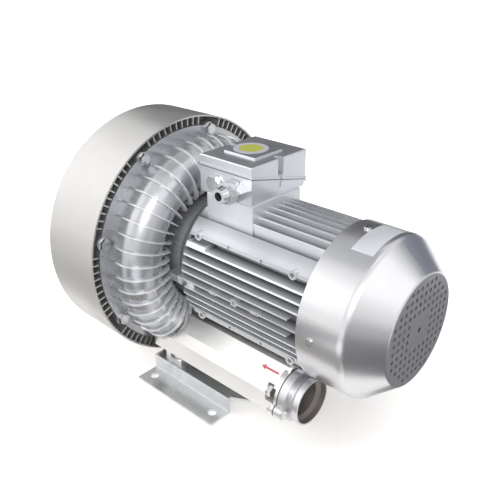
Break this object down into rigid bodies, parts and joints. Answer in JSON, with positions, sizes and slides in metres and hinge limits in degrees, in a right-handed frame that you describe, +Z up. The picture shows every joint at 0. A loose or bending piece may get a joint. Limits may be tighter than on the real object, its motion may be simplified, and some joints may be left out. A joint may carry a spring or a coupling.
{
  "type": "side channel blower",
  "caption": "Side channel blower with ribbed channel housing, plain shroud, flange motor, terminal box, silencers under the motor and a bent sheet base.",
  "frame": {"origin": "centre of the four foot holes, on the floor plane that the base stands on", "axes": "+X along the shaft from the blower to the fan end of the motor, +Z up, the cable gland on the -Y side"},
  "size_m": [0.4506, 0.3376, 0.3498],
  "materials": {
    "cast_housing": "as-cast silver, lightly blasted",
    "skirt_metal": "smooth satin casting",
    "motor_casting": "silver die casting",
    "silencer_metal": "silver casting",
    "cowl_sheet": "satin silver",
    "base_sheet": "zinc plated",
    "bolt_steel": "zinc plated",
    "spigot_metal": "machined casting",
    "seal_rubber": "matte",
    "gland_metal": "nickel plated",
    "foam_lining": "open-cell foam",
    "shaft_steel": "ground",
    "core_iron": "stacked sheets",
    "copper_wire": "enamelled",
    "impeller_metal": "cast and machined",
    "fan_plastic": "moulded",
    "board_plastic": "moulded"
  },
  "bodies": {
    "casing": {"blower_housing": "cast_housing", "intermediate_ring": "cast_housing", "rear_cover": "skirt_metal", "motor_frame": "motor_casting", "rear_end_shield": "motor_casting", "terminal_box_base": "motor_casting", "terminal_box_lid": "motor_casting", "inlet_silencer": "silencer_metal", "outlet_silencer": "silencer_metal", "fan_cowl": "cowl_sheet", "base_plate": "base_sheet", "base_bolts": "bolt_steel", "base_nuts": "bolt_steel", "cover_bolts": "bolt_steel", "spigot_bolts": "bolt_steel", "silencer_tie_bolts": "bolt_steel", "motor_bolts": "bolt_steel", "end_shield_bolts": "bolt_steel", "cowl_screws": "bolt_steel", "lid_screws": "bolt_steel", "box_screws": "bolt_steel", "preload_washer": "bolt_steel", "inlet_spigot": "spigot_metal", "outlet_spigot": "spigot_metal", "inlet_gasket": "seal_rubber", "outlet_gasket": "seal_rubber", "shaft_seal": "seal_rubber", "terminal_box_gasket": "seal_rubber", "gland_seal": "seal_rubber", "gland_body": "gland_metal", "gland_dome_nut": "gland_metal", "gland_locknut": "gland_metal", "blanking_plug": "gland_metal", "inlet_silencer_foam": "foam_lining", "outlet_silencer_foam": "foam_lining", "front_bearing_outer_ring": "shaft_steel", "rear_bearing_outer_ring": "shaft_steel", "stator_core": "core_iron", "stator_winding": "copper_wire", "terminal_studs": "copper_wire", "terminal_links": "copper_wire", "terminal_board": "board_plastic"},
    "rotor": {"rotor_shaft": "shaft_steel", "rotor_core": "core_iron", "rotor_end_rings": "impeller_metal", "front_bearing_inner_ring": "shaft_steel", "rear_bearing_inner_ring": "shaft_steel", "impeller_1": "impeller_metal", "impeller_2": "impeller_metal", "impeller_spacer": "shaft_steel", "impeller_washer": "bolt_steel", "impeller_bolt": "bolt_steel", "impeller_keys": "shaft_steel", "cooling_fan": "fan_plastic", "fan_clip": "bolt_steel"},
    "front_balls": {"front_bearing_balls": "shaft_steel", "front_bearing_cage": "shaft_steel"},
    "rear_balls": {"rear_bearing_balls": "shaft_steel", "rear_bearing_cage": "shaft_steel"}
  },
  "joints": [
    {"name": "rotor_spin", "type": "hinge", "parent": "casing", "child": "rotor", "pos_m": [0.05, 0, 0.181], "axis": [1, 0, 0], "continuous": true},
    {"name": "front_balls_spin", "type": "hinge", "parent": "casing", "child": "front_balls", "pos_m": [-0.045, 0, 0.181], "axis": [1, 0, 0], "continuous": true},
    {"name": "rear_balls_spin", "type": "hinge", "parent": "casing", "child": "rear_balls", "pos_m": [0.1915, 0, 0.181], "axis": [1, 0, 0], "continuous": true}
  ],
  "couplings": [
    {"joint": "front_balls_spin", "follows": "rotor_spin", "ratio": 0.3991},
    {"joint": "rear_balls_spin", "follows": "rotor_spin", "ratio": 0.3983}
  ]
}
